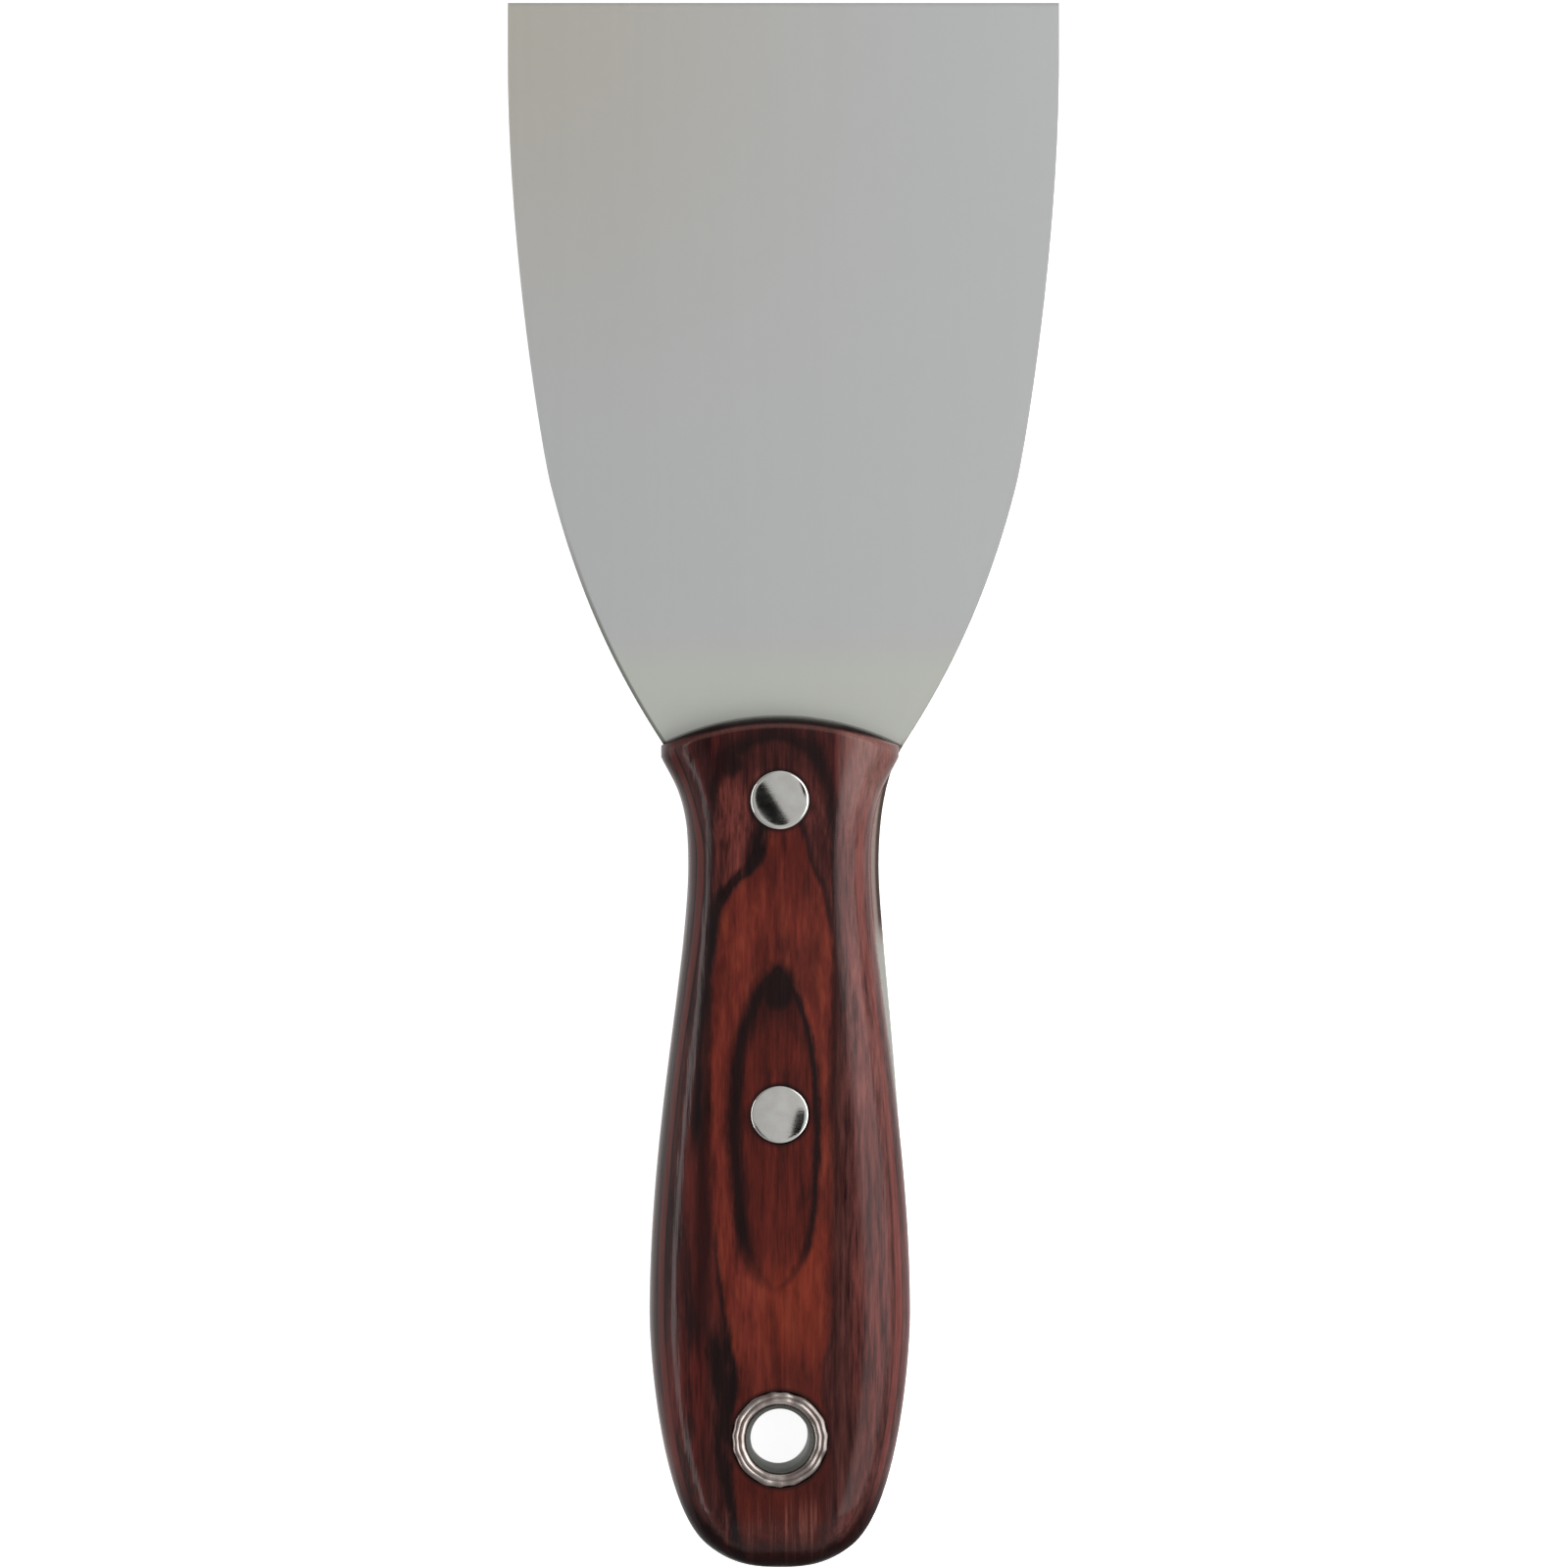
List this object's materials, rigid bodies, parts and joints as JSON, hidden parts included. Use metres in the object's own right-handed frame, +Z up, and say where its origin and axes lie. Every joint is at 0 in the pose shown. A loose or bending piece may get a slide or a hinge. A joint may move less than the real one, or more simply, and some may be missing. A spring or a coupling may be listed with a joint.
{
  "type": "drywall taping knife",
  "caption": "Drywall taping knife: a flared flexible steel blade with a full tang between riveted laminated-wood scales and a hanging eyelet.",
  "frame": {"origin": "centre of the knife's length and width, on the surface that it lies on", "axes": "+X across the blade, +Y from the butt of the handle to the working edge, +Z up through the lower scale, the tang and the upper scale"},
  "size_m": [0.0762, 0.216, 0.0188],
  "materials": {
    "blade_steel": "satin, fine grinding lines",
    "laminated_wood": "clear lacquer over dyed laminated veneer",
    "rivet_steel": "ground flush and polished",
    "eyelet_steel": "plated, worn at the rim"
  },
  "bodies": {
    "root": {"blade_and_tang": "blade_steel", "scale_upper": "laminated_wood", "scale_lower": "laminated_wood", "rivet_tube_palm": "rivet_steel", "rivet_pin_palm": "rivet_steel", "rivet_tube_neck": "rivet_steel", "rivet_pin_neck": "rivet_steel", "hanging_eyelet": "eyelet_steel", "eyelet_ring": "eyelet_steel"}
  },
  "joints": []
}
